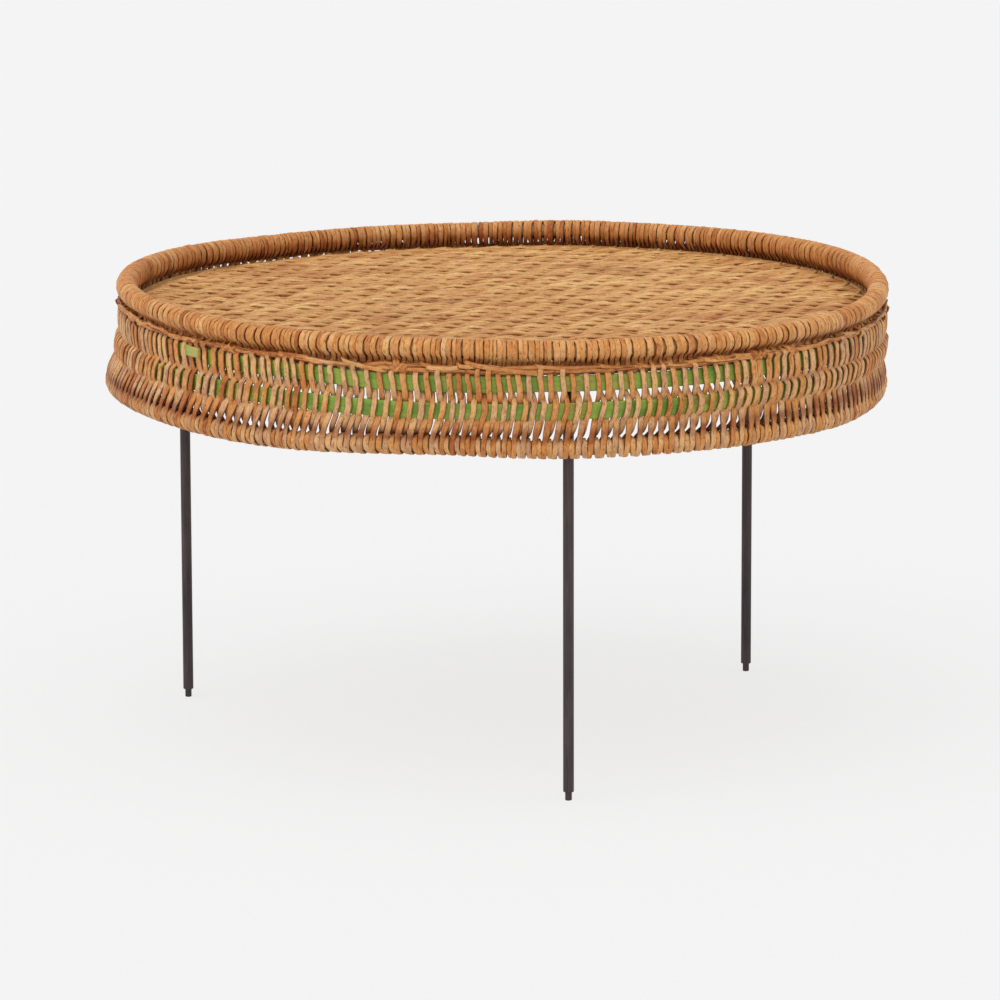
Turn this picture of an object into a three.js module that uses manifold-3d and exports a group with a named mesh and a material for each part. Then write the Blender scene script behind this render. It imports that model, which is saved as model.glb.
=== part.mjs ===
// Round wicker tray table on three iron rod legs.
// Millimetres, +Z up. The origin is on the floor under the middle of the tray,
// and -Y is the front.

import * as THREE from 'three';
import { mergeVertices } from 'three/addons/utils/BufferGeometryUtils.js';
import Module from 'manifold-3d';

// Overall sizes
const tableHeight = 440;
const trayWidth = 750;
const trayDepth = 25;
const apronHeight = 112.3;

// Gap between pieces that touch
const clearance = 0.3;

// Iron stand
const legWidth = 10;
const legInset = 48.2;
const frontLegAngle = 281.3;
const tipWidth = 6.3;
const tipLength = 8;
const frameRodWidth = 8;

// Wrapped rolls at the rim and at the base of the apron
const rimInset = 5.4;
const rimRollWidth = 22;
const baseRollWidth = 22;
const wrapThickness = 3.4;

// The seam in each wrapping, and the corner of its section that reaches furthest up at the
// rim and furthest out at the base, in degrees from outwards through up
const seamSpread = 40;
const rimCrestAngle = 90;
const baseCrestAngle = 0;

// Green cane bands, with the places of their middles as shares of the clear height from the
// rim's roll down to the base's roll, and their places inside the tray's edge
const bandWidth = 15;
const bandThickness = 3;
const upperBandPlaceShare = 0.271;
const lowerBandPlaceShare = 0.637;
const upperBandInset = 9.6;
const lowerBandInset = 7.6;

// Apron strands
const strandWidth = 9;
const strandThickness = 3.6;
const strandLead = 1;
const strandSpread = 6;
const overPlaceShare = 0.25;
const underPlaceShare = 0.75;
const binderWidth = 3.2;
const binderDrop = 25.2;

// Woven tray floor
const floorThickness = 7.1;
const floorHoopWidth = 6.6;
const stakeWidth = 3;
const outerStakeInset = 15.9;
const stakeAngle = 71;

// Counts
const legNames = ['leg_front', 'leg_right', 'leg_left'];
const sectorCount = 8;
const sidesPerSector = 6;
const ringSides = sectorCount * sidesPerSector;
const strandPairsPerSector = 8;
const stakesEachSide = 14;
const rollSides = 7;
const sidesBeforeCrest = 4;
const rodSides = 8;
const coreSides = 6;
const legSides = 16;

// Radii and heights worked out from the sizes above
const trayRadius = trayWidth / 2;
const facetShare = Math.cos(Math.PI / ringSides);
const rimRadius = trayRadius - rimInset - rimRollWidth / 2;
const rimCentreZ = tableHeight - rimRollWidth / 2;
const baseRadius = trayRadius - baseRollWidth / 2;
const baseCentreZ = tableHeight - apronHeight + baseRollWidth / 2;
const floorTopZ = tableHeight - trayDepth;
const floorBottomZ = floorTopZ - floorThickness;
const upperBandRadius = trayRadius - upperBandInset;
const lowerBandRadius = trayRadius - lowerBandInset;
const clearHeight = apronHeight - rimRollWidth - baseRollWidth;
const upperBandTopZ = bandMiddleZ(upperBandPlaceShare) + bandWidth / 2;
const upperBandBottomZ = upperBandTopZ - bandWidth;
const lowerBandTopZ = bandMiddleZ(lowerBandPlaceShare) + bandWidth / 2;
const lowerBandBottomZ = lowerBandTopZ - bandWidth;
const legRadius = trayRadius - legInset;
const frameRadius = (legRadius + legWidth / 2 + clearance) / facetShare + frameRodWidth / 2;
const standTopZ = floorBottomZ - clearance;

// Materials
const iron = new THREE.MeshStandardMaterial({ color: 0x463a39, roughness: 0.55, metalness: 0.8 });
const rattan = new THREE.MeshStandardMaterial({ color: 0xc39254, roughness: 0.6, metalness: 0 });
const darkRattan = new THREE.MeshStandardMaterial({ color: 0xa87544, roughness: 0.65, metalness: 0 });
const pole = new THREE.MeshStandardMaterial({ color: 0xb58a55, roughness: 0.7, metalness: 0 });
const greenCane = new THREE.MeshStandardMaterial({ color: 0x6d9434, roughness: 0.5, metalness: 0 });

const table = new THREE.Group();
const wasm = await Module();
wasm.setup();

function degrees(angle) {
  return THREE.MathUtils.degToRad(angle);
}

// The height of a band's middle at a share of the clear height below the rim's roll.
function bandMiddleZ(placeShare) {
  return tableHeight - rimRollWidth - placeShare * clearHeight;
}

function addPiece(name, geometry, material) {
  const mesh = new THREE.Mesh(geometry, material);
  mesh.name = name;
  table.add(mesh);
  return mesh;
}

// A closed geometry as a solid that can be cut and joined.
function toSolid(geometry) {
  const bare = geometry.clone();
  bare.deleteAttribute('normal');
  bare.deleteAttribute('uv');
  const merged = mergeVertices(bare);
  return new wasm.Manifold(new wasm.Mesh({
    numProp: 3,
    vertProperties: new Float32Array(merged.attributes.position.array),
    triVerts: new Uint32Array(merged.index.array),
  }));
}

function toGeometry(solid) {
  const mesh = solid.getMesh();
  const geometry = new THREE.BufferGeometry();
  geometry.setAttribute('position', new THREE.BufferAttribute(mesh.vertProperties, mesh.numProp));
  geometry.setIndex(new THREE.BufferAttribute(mesh.triVerts, 1));
  geometry.computeVertexNormals();
  return geometry;
}

// Turns an outline of radius and height points once round the Z axis.
function revolve(outline, sides) {
  const profile = outline.map(([radius, height]) => new THREE.Vector2(radius, height));
  const geometry = new THREE.LatheGeometry(profile, sides);
  geometry.rotateX(Math.PI / 2);
  return geometry;
}

// A hoop of round rod with flat sides, as wide as given across them.
function makeHoop(centreRadius, centreZ, width, sides) {
  const reach = width / 2 / Math.cos(Math.PI / sides);
  const outline = [];
  for (let i = 0; i <= sides; i += 1) {
    const turn = ((i + 0.5) / sides) * 2 * Math.PI;
    outline.push([centreRadius + reach * Math.cos(turn), centreZ + reach * Math.sin(turn)]);
  }
  return revolve(outline, ringSides);
}

// A hoop of flat strip.
function makeBand(outerRadius, topZ) {
  const innerRadius = outerRadius - bandThickness;
  const bottomZ = topZ - bandWidth;
  return revolve([
    [innerRadius, bottomZ],
    [outerRadius, bottomZ],
    [outerRadius, topZ],
    [innerRadius, topZ],
    [innerRadius, bottomZ],
  ], ringSides);
}

// The strands wound round a core, as a tube with a seam.
function makeWrapping(centreRadius, centreZ, rollWidth, crestAngle) {
  const step = degrees(360 - seamSpread) / rollSides;
  const startTurn = degrees(crestAngle) - sidesBeforeCrest * step;
  const outerReach = rollWidth / 2;
  const innerReach = (rollWidth / 2 - wrapThickness) / Math.cos(step / 2);
  const outer = [];
  const inner = [];
  for (let i = 0; i <= rollSides; i += 1) {
    const turn = startTurn + i * step;
    outer.push([centreRadius + outerReach * Math.cos(turn), centreZ + outerReach * Math.sin(turn)]);
    inner.push([centreRadius + innerReach * Math.cos(turn), centreZ + innerReach * Math.sin(turn)]);
  }
  return revolve([...outer, ...inner.reverse(), outer[0]], ringSides);
}

// The width across its flats of the widest core that a wrapping holds.
function coreWidth(rollWidth) {
  return (rollWidth - 2 * (wrapThickness + clearance)) * Math.cos(Math.PI / coreSides);
}

// One leg: a rod with a narrow peg turned on its lower end.
function makeLeg() {
  return revolve([
    [0, 0],
    [tipWidth / 2, 0],
    [tipWidth / 2, tipLength],
    [legWidth / 2, tipLength],
    [legWidth / 2, standTopZ],
    [0, standTopZ],
  ], legSides);
}

// The legs stand inside the frame's ring, against the middles of its facets.
function addStand() {
  legNames.forEach((name, i) => {
    const turn = degrees(frontLegAngle + (i * 360) / legNames.length);
    const leg = addPiece(name, makeLeg(), iron);
    leg.position.set(legRadius * Math.cos(turn), legRadius * Math.sin(turn), 0);
  });
  const frameZ = standTopZ - frameRodWidth / 2;
  addPiece('frame_ring', makeHoop(frameRadius, frameZ, frameRodWidth, rodSides), iron);
}

function addHoops() {
  addPiece('rim_core', makeHoop(rimRadius, rimCentreZ, coreWidth(rimRollWidth), coreSides), pole);
  addPiece('base_core', makeHoop(baseRadius, baseCentreZ, coreWidth(baseRollWidth), coreSides), pole);
  addPiece('upper_band', makeBand(upperBandRadius, upperBandTopZ), greenCane);
  addPiece('lower_band', makeBand(lowerBandRadius, lowerBandTopZ), greenCane);
}

// The middle line of a strand where it passes outside or inside a band. A band is faceted,
// so its inner face comes nearest the axis at the middle of a facet.
function outsideLine(bandRadius) {
  return bandRadius + clearance + strandThickness / 2;
}

function insideLine(bandRadius) {
  const nearest = (bandRadius - bandThickness) * facetShare - clearance;
  return Math.sqrt(nearest ** 2 - (strandWidth / 2) ** 2) - strandThickness / 2;
}

// How far from a roll's middle height a strand's end lies: inside the wrapping's wall where
// the strand is part of it, and otherwise clear of its outside.
function endInWall(rollWidth, sideShift) {
  const wallMiddle = rollWidth / 2 - wrapThickness / 2;
  return Math.sqrt(wallMiddle ** 2 - sideShift ** 2);
}

function endOnRoll(rollWidth, sideShift) {
  const nearSide = Math.max(0, Math.abs(sideShift) - strandThickness / 2);
  return Math.sqrt((rollWidth / 2) ** 2 - nearSide ** 2) + clearance;
}

// A strand bent along its middle line of radius and height points, at an angle round the tray.
function makeStrand(line, turn) {
  const half = strandThickness / 2;
  const down = line.map(([radius, height]) => new THREE.Vector2(radius + half, height));
  const back = line.map(([radius, height]) => new THREE.Vector2(radius - half, height)).reverse();
  const outline = new THREE.Shape([...down, ...back]);
  const geometry = new THREE.ExtrudeGeometry(outline, { depth: strandWidth, bevelEnabled: false });
  geometry.translate(0, 0, -strandWidth / 2);
  geometry.rotateX(Math.PI / 2);
  geometry.rotateZ(turn);
  return geometry;
}

// The middle lines of the strands that pass outside the upper band and inside the lower one,
// and of those that do the opposite. The first are part of the rim's wrapping, the second of
// the base's.
function strandLines() {
  const neckRadius = insideLine(upperBandRadius);
  const neckShift = neckRadius - rimRadius;
  const pastBands = (upperRadius, lowerRadius) => [
    [upperRadius, upperBandTopZ + strandLead],
    [upperRadius, upperBandBottomZ - strandLead],
    [lowerRadius, lowerBandTopZ + strandLead],
    [lowerRadius, lowerBandBottomZ - strandLead],
  ];
  return {
    over: [
      [neckRadius, rimCentreZ - endInWall(rimRollWidth, neckShift)],
      ...pastBands(outsideLine(upperBandRadius), insideLine(lowerBandRadius)),
      [baseRadius + strandSpread / 2, baseCentreZ + endOnRoll(baseRollWidth, strandSpread / 2)],
    ],
    under: [
      [neckRadius, rimCentreZ - endOnRoll(rimRollWidth, neckShift)],
      ...pastBands(insideLine(upperBandRadius), outsideLine(lowerBandRadius)),
      [baseRadius - strandSpread / 2, baseCentreZ + endInWall(baseRollWidth, strandSpread / 2)],
    ],
  };
}

// A wedge of space that holds one sector of the wickerwork and leaves a gap to the next.
function makeSectorWedge() {
  const spread = (2 * Math.PI) / sectorCount;
  const apexDistance = clearance / 2 / Math.sin(spread / 2);
  const apex = new THREE.Vector2(Math.cos(spread / 2), Math.sin(spread / 2))
    .multiplyScalar(apexDistance);
  const outline = new THREE.Shape([
    apex,
    new THREE.Vector2(trayWidth, 0).add(apex),
    new THREE.Vector2(trayWidth * Math.cos(spread), trayWidth * Math.sin(spread)).add(apex),
  ]);
  return toSolid(new THREE.ExtrudeGeometry(outline, { depth: tableHeight * 2, bevelEnabled: false }));
}

// One sector of a wrapping, with every second strand of the apron joined to it. A strand's
// place is a share of the spread of one pair, so that the two kinds alternate.
function makeWickerSector(wrapping, line, placeShare) {
  const pairSpread = (2 * Math.PI) / (sectorCount * strandPairsPerSector);
  let wicker = toSolid(wrapping).intersect(makeSectorWedge());
  for (let pair = 0; pair < strandPairsPerSector; pair += 1) {
    wicker = wicker.add(toSolid(makeStrand(line, (pair + placeShare) * pairSpread)));
  }
  return toGeometry(wicker);
}

function addWicker() {
  const lines = strandLines();
  const rimWrapping = makeWrapping(rimRadius, rimCentreZ, rimRollWidth, rimCrestAngle);
  const baseWrapping = makeWrapping(baseRadius, baseCentreZ, baseRollWidth, baseCrestAngle);
  const rimSector = makeWickerSector(rimWrapping, lines.over, overPlaceShare);
  const baseSector = makeWickerSector(baseWrapping, lines.under, underPlaceShare);
  for (let sector = 0; sector < sectorCount; sector += 1) {
    const turn = (sector / sectorCount) * 2 * Math.PI;
    addPiece(`rim_strands_${sector + 1}`, rimSector, rattan).rotation.z = turn;
    addPiece(`base_strands_${sector + 1}`, baseSector, darkRattan).rotation.z = turn;
  }
}

// The binder lies on the slope of the strands between the upper band and the rim roll.
function addBinder() {
  const [[topRadius, topZ], [bendRadius, bendZ]] = strandLines().over;
  const binderZ = tableHeight - binderDrop;
  const lowEdgeShare = (topZ - (binderZ - binderWidth / 2)) / (topZ - bendZ);
  const strandFace = topRadius + (bendRadius - topRadius) * lowEdgeShare + strandThickness / 2;
  const innerRadius = (Math.hypot(strandFace, strandWidth / 2) + clearance) / facetShare;
  addPiece('binder_row', makeHoop(innerRadius + binderWidth / 2, binderZ, binderWidth, coreSides),
    darkRattan);
}

// A rod that lies level along the stakes' direction, at a distance from the middle one.
function makeLevelRod(width, length, offset, height) {
  const geometry = new THREE.CylinderGeometry(width / 2, width / 2, length, coreSides);
  geometry.translate(offset, 0, 0);
  geometry.rotateZ(degrees(stakeAngle - 90));
  geometry.translate(0, 0, height);
  return geometry;
}

// The weave is one panel with the stakes running through it, and its edge turns round a hoop.
function addFloor() {
  const middleZ = (floorTopZ + floorBottomZ) / 2;
  const hoopOuter = insideLine(upperBandRadius) - strandThickness / 2 - clearance;
  const hoopRadius = hoopOuter - floorHoopWidth / 2;
  addPiece('floor_hoop', makeHoop(hoopRadius, middleZ, floorHoopWidth, coreSides), pole);

  const panelRadius = hoopRadius - floorHoopWidth / 2 - clearance;
  const panel = revolve([
    [0, floorBottomZ],
    [panelRadius, floorBottomZ],
    [panelRadius, floorTopZ],
    [0, floorTopZ],
  ], ringSides);
  const stakeSpacing = (panelRadius - outerStakeInset) / stakesEachSide;
  const boreWidth = stakeWidth + (2 * clearance) / Math.cos(Math.PI / coreSides);
  let weave = toSolid(panel);
  for (let i = -stakesEachSide; i <= stakesEachSide; i += 1) {
    const offset = i * stakeSpacing;
    const farSide = Math.abs(offset) + stakeWidth / 2;
    const length = 2 * Math.sqrt((panelRadius * facetShare) ** 2 - farSide ** 2);
    const number = String(i + stakesEachSide + 1).padStart(2, '0');
    addPiece(`floor_stake_${number}`, makeLevelRod(stakeWidth, length, offset, middleZ), pole);
    weave = weave.subtract(toSolid(makeLevelRod(boreWidth, trayWidth, offset, middleZ)));
  }
  addPiece('floor_weave', toGeometry(weave), rattan);
}

addStand();
addHoops();
addWicker();
addBinder();
addFloor();

export default table;
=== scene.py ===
import math

import bpy
import numpy as np
from mathutils import Matrix, Vector


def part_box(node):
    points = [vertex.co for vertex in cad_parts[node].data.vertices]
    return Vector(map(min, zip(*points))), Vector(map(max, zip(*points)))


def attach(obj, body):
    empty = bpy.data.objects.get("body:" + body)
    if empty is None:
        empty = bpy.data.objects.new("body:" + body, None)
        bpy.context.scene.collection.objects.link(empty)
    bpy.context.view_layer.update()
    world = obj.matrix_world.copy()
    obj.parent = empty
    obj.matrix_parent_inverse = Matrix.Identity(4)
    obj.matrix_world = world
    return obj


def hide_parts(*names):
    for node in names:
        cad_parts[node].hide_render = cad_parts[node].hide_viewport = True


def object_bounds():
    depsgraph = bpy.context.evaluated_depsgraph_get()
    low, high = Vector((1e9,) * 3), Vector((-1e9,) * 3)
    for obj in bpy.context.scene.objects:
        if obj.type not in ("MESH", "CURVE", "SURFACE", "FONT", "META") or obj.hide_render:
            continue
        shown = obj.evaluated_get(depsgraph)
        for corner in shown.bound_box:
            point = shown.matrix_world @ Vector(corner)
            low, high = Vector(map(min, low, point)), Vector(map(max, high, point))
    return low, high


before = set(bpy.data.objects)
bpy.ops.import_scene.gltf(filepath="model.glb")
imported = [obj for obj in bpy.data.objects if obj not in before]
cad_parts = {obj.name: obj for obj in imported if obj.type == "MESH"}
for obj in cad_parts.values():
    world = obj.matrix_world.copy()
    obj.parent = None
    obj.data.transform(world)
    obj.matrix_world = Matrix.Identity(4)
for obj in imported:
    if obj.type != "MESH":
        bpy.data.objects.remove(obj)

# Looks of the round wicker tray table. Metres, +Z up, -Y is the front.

cad_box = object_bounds()

MM = 0.001
FULL_TURN = 2 * math.pi

# Strands of the rim, the apron and the base
PAIRS = 224
SECTORS = 8
STRAND_WIDTH = 5.5 * MM
STRAND_THICKNESS = 3.0 * MM
HALF = STRAND_THICKNESS / 2
BAND_TOUCH = 0.1 * MM
STEP = 2.3 * MM
SECTION_SIDES = 12

# Bands, cores and the floor's hoop
BAND_THICKNESS = 3.0 * MM
BAND_WEAR = 0.4 * MM
BAND_OVERLAP = 0.05
TUCK_DEPTH = 1.6 * MM
TUCK_RUN = 0.09
END_NARROWING = 0.36
END_BARENESS = 0.75
BAND_SIDES = 16
BAND_SQUARENESS = 0.35
HOOP_STEPS = 360
CORE_SIDES = 20
CORE_GAP = 0.4 * MM
FLOOR_HOOP_WIDTH = 5.2 * MM
FLOOR_HOOP_DROP = 0.5 * MM
FLOOR_HOOP_SIDES = 16

# Floor strands and stakes. Each floor strand is a pair with its neighbour, and the two change
# sides between one stake and the next
WEAVER_ANGLE = math.radians(10)
PAIR_PITCH = 11.5 * MM
WEAVER_WIDTH = 7.0 * MM
WEAVER_THICKNESS = 2.8 * MM
WEAVER_SWING = 1.7 * MM
WEAVER_SPREAD = 1.05 * MM
WEAVER_STEP = 2.6 * MM
WEAVER_SIDES = 10
# Painted highlight: how much lighter the floor strands' tone is on their crests over the stakes, and a
# little darker elsewhere.
RIDGE_HIGHLIGHT = 0.16
FLOOR_PIECES = 4
SHORTEST_HALF = 12 * MM
SPREAD_REACH = 360 * MM
STAKE_THICKNESS = 3.6 * MM
STAKE_STEP = 6 * MM
STAKE_SIDES = 12

# How the floor strands turn down at the floor's edge
EDGE_REACH = 4.0 * MM
EDGE_DROP = 3.5 * MM
EDGE_RUN = 24 * MM
EDGE_TUCK = 8 * MM
EDGE_TUCK_RUN = 7 * MM


def ring_levels(node):
    """Outer radius, lowest and highest level of a node that goes round the Z axis."""
    low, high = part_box(node)
    return high.x, low.z, high.z


def core_centre(node):
    """Radius and level of the middle of a six-sided hoop."""
    outer, low, high = ring_levels(node)
    middle = (low + high) / 2
    return outer - (high - middle) * math.cos(math.pi / 6), middle


# The wraps lie a little closer round their cores than the solids show
RIM_SLACK = 1.1 * MM
BASE_SLACK = 0.8 * MM
RIM_R, RIM_Z = core_centre("rim_core")
BASE_R, BASE_Z = core_centre("base_core")
TOP_Z = cad_box[1].z
RIM_ROLL = TOP_Z - RIM_Z - RIM_SLACK
BASE_ROLL = BASE_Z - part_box("base_strands_1")[0].z - BASE_SLACK
RIM_R, RIM_Z = RIM_R + RIM_SLACK, RIM_Z - 0.9 * RIM_SLACK
BASE_Z = BASE_Z + BASE_SLACK
BASE_R = BASE_R + BASE_SLACK
UPPER_OUT, UPPER_LOW, UPPER_HIGH = ring_levels("upper_band")
LOWER_OUT, LOWER_LOW, LOWER_HIGH = ring_levels("lower_band")
UPPER_Z = (UPPER_LOW + UPPER_HIGH) / 2
LOWER_Z = (LOWER_LOW + LOWER_HIGH) / 2
CROSS_R = (UPPER_OUT + LOWER_OUT - BAND_THICKNESS) / 2
FLOOR_R, FLOOR_LOW, FLOOR_TOP = ring_levels("floor_weave")
FLOOR_Z = (FLOOR_LOW + FLOOR_TOP) / 2

# The rim lies to the right and the base to the left, the rear of the rim sags, and the bands
# hang lower than in the solids, except at the left
RIM_SHIFT = 2.6 * MM
BASE_SHIFT = 3.4 * MM
REAR_SAG = 3.0 * MM
BAND_SAG = 3.4 * MM
BAND_LEFT_LIFT = 4.8 * MM
BAND_TILT = -1.3 * MM

# The right of the tray is twisted, up at the rear and down at the front, and its left stands up
TWIST = 5.8 * MM
TWIST_REACH = 140 * MM
LEFT_LIFT = 4.4 * MM

# The base dips at both sides and is drawn up a little left of the front
BASE_DIP = 1.8 * MM
BASE_ARCH = 1.8 * MM
BASE_ARCH_X = -45 * MM
BASE_ARCH_REACH = 60 * MM

# Where each bend sets in and where it is full, in metres towards its side
REAR_SPAN = (-0.05, 0.36)
FRONT_SPAN = (0.0, 0.2)
LEFT_SPAN = (0.22, 0.36)
BAND_LEFT_SPAN = (0.05, 0.21)
NEAR_RIGHT_SPAN = (-0.05, 0.09)
FAR_RIGHT_SPAN = (0.10, 0.34)
DIP_LEFT_SPAN = (0.10, 0.20)
DIP_RIGHT_SPAN = (0.27, 0.33)
EDGE_SPAN = 50 * MM
RIPPLE = 0.6 * MM


# Small helpers

def smooth_step(low, high, value):
    share = np.clip((value - low) / (high - low), 0, 1)
    return share * share * (3 - 2 * share)


def bell(offset, reach):
    """1 where the offset is nothing, and less and less to both sides."""
    return np.exp(-((offset / reach) ** 2))


def wave_round(turn, rng, harmonics, amplitude):
    """A smooth uneven line that closes on itself after one full turn."""
    total = np.zeros_like(turn)
    for count in harmonics:
        phase = rng.uniform(0, FULL_TURN)
        total += np.sin(count * turn + phase) * rng.uniform(0.5, 1.0)
    return total * amplitude / math.sqrt(len(harmonics))


def handmade(points):
    """Bends the true circles of the weave as the real one is bent."""
    x, y, z = points[..., 0], points[..., 1], points[..., 2]
    turn = np.arctan2(y, x)
    rear = smooth_step(*REAR_SPAN, y)
    upper = smooth_step(FLOOR_LOW, RIM_Z - RIM_ROLL / 2, z)
    outside = smooth_step(RIM_R - 6 * MM, RIM_R, np.hypot(x, y))
    above_base = smooth_step(BASE_Z + 0.7 * BASE_ROLL, LOWER_LOW - 2 * MM, z)
    below_rim = 1 - smooth_step(UPPER_HIGH, RIM_Z - 0.8 * RIM_ROLL, z)
    apron = outside * above_base * below_rim
    base_share = 1 - smooth_step(BASE_Z, UPPER_LOW, z)
    front = smooth_step(*FRONT_SPAN, -y)
    ripple = wave_round(turn, np.random.default_rng(11), (3, 5, 8, 13), RIPPLE)
    right = 0.55 * smooth_step(*NEAR_RIGHT_SPAN, x) + 0.45 * smooth_step(*FAR_RIGHT_SPAN, x)
    left = smooth_step(*LEFT_SPAN, -x)
    band_left = smooth_step(*BAND_LEFT_SPAN, -x)
    edge = smooth_step(RIM_R - EDGE_SPAN, RIM_R, np.hypot(x, y))
    dips = smooth_step(*DIP_LEFT_SPAN, -x) + 0.8 * smooth_step(*DIP_RIGHT_SPAN, x)
    bent = points.copy()
    bent[..., 0] = x + RIM_SHIFT * (1 - base_share) - BASE_SHIFT * base_share
    bent[..., 2] = (
        z - REAR_SAG * rear * upper
        - (BAND_SAG + BAND_TILT * (x / RIM_R) - BAND_LEFT_LIFT * band_left) * apron
        + ripple * apron
        + TWIST * right * np.tanh(y / TWIST_REACH) * edge * (1 - 0.8 * apron)
        + LEFT_LIFT * left * edge
        + BASE_ARCH * bell(x - BASE_ARCH_X, BASE_ARCH_REACH) * front * base_share
        - BASE_DIP * dips * base_share
    )
    return bent


def catmull(controls, places):
    """Smooth lines through rows of control points, read at places counted in points."""
    last = controls.shape[1] - 1
    base = np.clip(np.floor(places).astype(int), 0, last - 1)
    t = (places - base)[None, :, None]
    p0 = controls[:, np.clip(base - 1, 0, last)]
    p1 = controls[:, base]
    p2 = controls[:, base + 1]
    p3 = controls[:, np.clip(base + 2, 0, last)]
    return 0.5 * (
        2 * p1 + (p2 - p0) * t + (2 * p0 - 5 * p1 + 4 * p2 - p3) * t ** 2
        + (3 * p1 - p0 - 3 * p2 + p3) * t ** 3
    )


def running_length(points):
    """How far each point lies along its line, for one line or several."""
    steps = np.linalg.norm(np.diff(points, axis=-2), axis=-1)
    return np.concatenate([0 * steps[..., :1], np.cumsum(steps, axis=-1)], axis=-1)


def starts_of(sizes):
    """Where each of a row of things starts, from their sizes."""
    return np.concatenate([[0], np.cumsum(sizes)[:-1]])


def even_places(line, step):
    """Places along a line of points, counted in points, about a step apart."""
    fine = np.linspace(0, len(line) - 1, 40 * len(line))
    lengths = running_length(catmull(line[None], fine)[0])
    count = max(2, int(round(lengths[-1] / step)))
    return np.interp(np.linspace(0, lengths[-1], count + 1), lengths, fine)


def around_axis(turn, radius, level):
    """Points, or directions, from their turn round the Z axis, their radius and their level."""
    return np.stack([radius * np.cos(turn), radius * np.sin(turn), level + 0 * turn], axis=-1)


def unit(vectors):
    return vectors / np.maximum(np.linalg.norm(vectors, axis=-1, keepdims=True), 1e-12)


def round_section(sides, shift=0.0):
    turn = (np.arange(sides) + shift) / sides * FULL_TURN
    return np.cos(turn), np.sin(turn)


def flatten(values, power):
    return np.sign(values) * np.abs(values) ** power


def strand_section(sides, groove, power):
    """Outline of a split strand: an oval, flattened, with a groove along each face."""
    x, y = round_section(sides)
    return x, flatten(y, power) * (1 - groove * bell(x, 0.3))


def band_section():
    """A flat strip with rounded edges."""
    x, y = round_section(BAND_SIDES, 0.5)
    return flatten(x, BAND_SQUARENESS), flatten(y, BAND_SQUARENESS)


def sweep(path, outward, width, thickness, section):
    """Tubes of a section along paths of shape (strands, points, 3)."""
    tangent = unit(np.gradient(path, axis=1))
    side = unit(np.cross(tangent, outward))
    up = np.cross(side, tangent)
    x, y = section
    return (
        path[:, :, None]
        + side[:, :, None] * (x * width[..., None] / 2)[..., None]
        + up[:, :, None] * (y * thickness[..., None] / 2)[..., None]
    )


class TubeMesh:
    """Collects tubes, then makes one mesh with UVs in metres and a tone for each point."""

    def __init__(self):
        self.points, self.tones, self.stains, self.edges = [], [], [], []
        self.uvs, self.corners, self.sizes = [], [], []
        self.count = 0

    def add(self, rings, tone, stain, rng):
        """rings is (strands, points, sides, 3); the tone and the stains with painted shade are (strands,
        points).
        """
        strands, steps, sides, _ = rings.shape
        index = self.count + np.arange(strands * steps * sides).reshape(strands, steps, sides)
        self.count += index.size
        self.points.append(rings.reshape(-1, 3))
        self.tones.append(np.repeat(tone.reshape(-1), sides))
        self.stains.append(np.repeat(stain.reshape(-1), sides))
        turns = np.arange(sides) / sides * FULL_TURN
        self.edges.append(np.tile(np.abs(np.cos(turns)), strands * steps))

        lengths = running_length(rings.mean(axis=2))
        around = np.linalg.norm(rings - np.roll(rings, 1, axis=2), axis=3).mean(axis=(0, 1)).sum()
        u = lengths[:, :, None] + rng.uniform(0, 5, (strands, 1, 1)) + np.zeros(sides + 1)
        v = np.arange(sides + 1) / sides * around + rng.uniform(0, 1, (strands, 1, 1))
        v = v + np.zeros((strands, steps, 1))
        uv = np.stack([u, v], axis=-1)

        nxt = np.roll(index, -1, axis=2)
        quads = np.stack([index[:, :-1], nxt[:, :-1], nxt[:, 1:], index[:, 1:]], axis=-1)
        self.corners.append(quads.reshape(-1))
        self.sizes.append(np.full(quads.size // 4, 4))
        quad_uv = np.stack([uv[:, :-1, :-1], uv[:, :-1, 1:], uv[:, 1:, 1:], uv[:, 1:, :-1]], axis=-2)
        self.uvs.append(quad_uv.reshape(-1, 2))

        for place, order in ((0, slice(None, None, -1)), (steps - 1, slice(None))):
            self.corners.append(index[:, place, order].reshape(-1))
            self.sizes.append(np.full(strands, sides))
            self.uvs.append(uv[:, place, :-1][:, order].reshape(-1, 2))

    def make(self, name, material):
        corners = np.concatenate(self.corners)
        sizes = np.concatenate(self.sizes)
        mesh = bpy.data.meshes.new(name)
        mesh.vertices.add(self.count)
        mesh.vertices.foreach_set("co", np.concatenate(self.points).astype(np.float32).reshape(-1))
        mesh.loops.add(len(corners))
        mesh.loops.foreach_set("vertex_index", corners.astype(np.int32))
        mesh.polygons.add(len(sizes))
        mesh.polygons.foreach_set("loop_start", starts_of(sizes).astype(np.int32))
        mesh.polygons.foreach_set("loop_total", sizes.astype(np.int32))
        mesh.polygons.foreach_set("use_smooth", sizes == 4)
        uv_layer = mesh.uv_layers.new(name="UVMap")
        uv_layer.data.foreach_set("uv", np.concatenate(self.uvs).astype(np.float32).reshape(-1))
        attributes = (("tone", self.tones), ("stain", self.stains), ("edge", self.edges))
        for attribute, values in attributes:
            layer = mesh.attributes.new(attribute, "FLOAT", "POINT")
            layer.data.foreach_set("value", np.concatenate(values).astype(np.float32))
        mesh.update(calc_edges=True)
        mesh.materials.append(material)
        return bpy.data.objects.new(name, mesh)


def place_piece(piece, slot, *nodes):
    """Puts a piece into the scene on the table's one body, in place of CAD nodes."""
    bpy.context.scene.collection.objects.link(piece)
    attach(piece, "root")
    if nodes:
        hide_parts(*nodes)
    return piece


# Materials

def linear(red, green, blue):
    """A colour given as display values from 0 to 255, as the shader reads it."""
    def channel(value):
        share = value / 255
        return share / 12.92 if share <= 0.04045 else ((share + 0.055) / 1.055) ** 2.4
    return (channel(red), channel(green), channel(blue), 1.0)


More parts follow.
